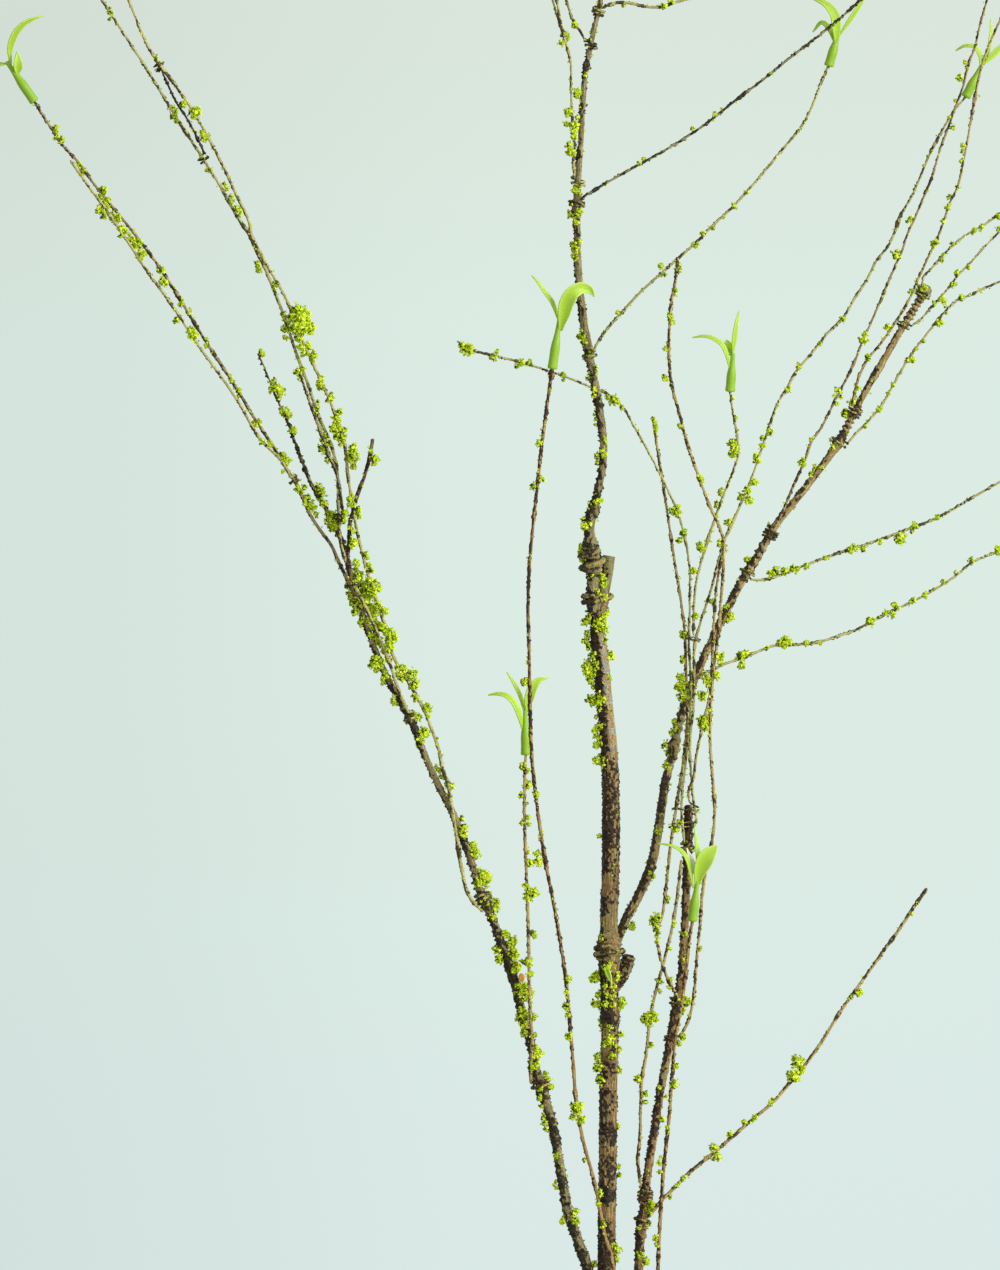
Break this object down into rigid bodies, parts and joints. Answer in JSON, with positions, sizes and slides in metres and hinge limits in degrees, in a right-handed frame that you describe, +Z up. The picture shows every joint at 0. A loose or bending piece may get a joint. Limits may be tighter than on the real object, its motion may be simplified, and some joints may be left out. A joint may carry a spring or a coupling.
{
  "type": "mossy willow twig spray",
  "caption": "Spray of mossy willow twigs with bark-covered stems, coiled thin twigs and soft green sprouts.",
  "frame": {"origin": "middle of the flat spot that the cut stem rests on", "axes": "+Y along the stem from the cut end to the tips, +Z up from the surface it lies on"},
  "size_m": [0.48, 0.6963, 0.0762],
  "materials": {
    "right_limb_bark": "rough bark",
    "main_stem_bark": "rough bark",
    "left_limb_bark": "rough bark",
    "right_stem_bark": "rough bark",
    "twig_low_right_bark": "rough bark",
    "twig_far_right_bark": "rough bark",
    "twig_mid_right_bark": "rough bark",
    "twig_fan_low_bark": "rough bark",
    "twig_fan_inner_bark": "rough bark",
    "twig_fan_top_bark": "rough bark",
    "twig_right_tall_bark": "rough bark",
    "twig_right_arch_bark": "rough bark",
    "twig_left_low_bark": "rough bark",
    "twig_left_short_bark": "rough bark",
    "twig_left_high_bark": "rough bark",
    "twig_left_wired_bark": "rough bark",
    "twig_left_splice_bark": "rough bark",
    "twig_left_bridge_bark": "rough bark",
    "twig_dark_stub_bark": "rough bark",
    "twig_bud_bark": "rough bark",
    "twig_right_pale_bark": "rough bark",
    "twig_crossing_bark": "rough bark",
    "twig_long_left_bark": "rough bark",
    "twig_fan_stem_bark": "rough bark",
    "twig_node_bark": "rough bark",
    "twig_tied_bark": "rough bark",
    "upper_stem_bark": "rough bark",
    "twig_arch_bark": "rough bark",
    "twig_slant_bark": "rough bark",
    "twig_beside_bark": "rough bark",
    "twig_top_left_bark": "rough bark",
    "twig_top_right_bark": "rough bark",
    "twig_dark_tall_bark": "rough bark",
    "twig_front_right_bark": "rough bark",
    "twig_front_bark": "rough bark",
    "base_binding_bark": "rough bark",
    "knot_binding_bark": "rough bark",
    "stem_binding_bark": "rough bark",
    "upper_band_bark": "rough bark",
    "sprout_left_leaf": "soft moulded plastic, satin",
    "sprout_bud_leaf": "soft moulded plastic, satin",
    "sprout_front_right_leaf": "soft moulded plastic, satin",
    "sprout_node_leaf": "soft moulded plastic, satin",
    "sprout_front_leaf": "soft moulded plastic, satin",
    "sprout_arch_leaf": "soft moulded plastic, satin",
    "sprout_fan_leaf": "soft moulded plastic, satin",
    "seed_bead_skin": "gloss",
    "bud_scale_skin": "matte"
  },
  "bodies": {
    "root": {"right_limb": "right_limb_bark", "main_stem": "main_stem_bark", "left_limb": "left_limb_bark", "right_stem": "right_stem_bark", "twig_low_right": "twig_low_right_bark", "twig_far_right": "twig_far_right_bark", "twig_mid_right": "twig_mid_right_bark", "twig_fan_low": "twig_fan_low_bark", "twig_fan_inner": "twig_fan_inner_bark", "twig_fan_top": "twig_fan_top_bark", "twig_right_tall": "twig_right_tall_bark", "twig_right_arch": "twig_right_arch_bark", "twig_left_low": "twig_left_low_bark", "twig_left_short": "twig_left_short_bark", "twig_left_high": "twig_left_high_bark", "twig_left_wired": "twig_left_wired_bark", "twig_left_splice": "twig_left_splice_bark", "twig_left_bridge": "twig_left_bridge_bark", "twig_dark_stub": "twig_dark_stub_bark", "twig_bud": "twig_bud_bark", "twig_right_pale": "twig_right_pale_bark", "twig_crossing": "twig_crossing_bark", "twig_long_left": "twig_long_left_bark", "twig_fan_stem": "twig_fan_stem_bark", "twig_node": "twig_node_bark", "twig_tied": "twig_tied_bark", "upper_stem": "upper_stem_bark", "twig_arch": "twig_arch_bark", "twig_slant": "twig_slant_bark", "twig_beside": "twig_beside_bark", "twig_top_left": "twig_top_left_bark", "twig_top_right": "twig_top_right_bark", "twig_dark_tall": "twig_dark_tall_bark", "twig_front_right": "twig_front_right_bark", "twig_front": "twig_front_bark", "base_binding": "base_binding_bark", "knot_binding": "knot_binding_bark", "stem_binding": "stem_binding_bark", "upper_band": "upper_band_bark", "sprout_left": "sprout_left_leaf", "sprout_bud": "sprout_bud_leaf", "sprout_front_right": "sprout_front_right_leaf", "sprout_node": "sprout_node_leaf", "sprout_front": "sprout_front_leaf", "sprout_arch": "sprout_arch_leaf", "sprout_fan": "sprout_fan_leaf", "seed_bead": "seed_bead_skin", "bud_scale": "bud_scale_skin"}
  },
  "joints": []
}
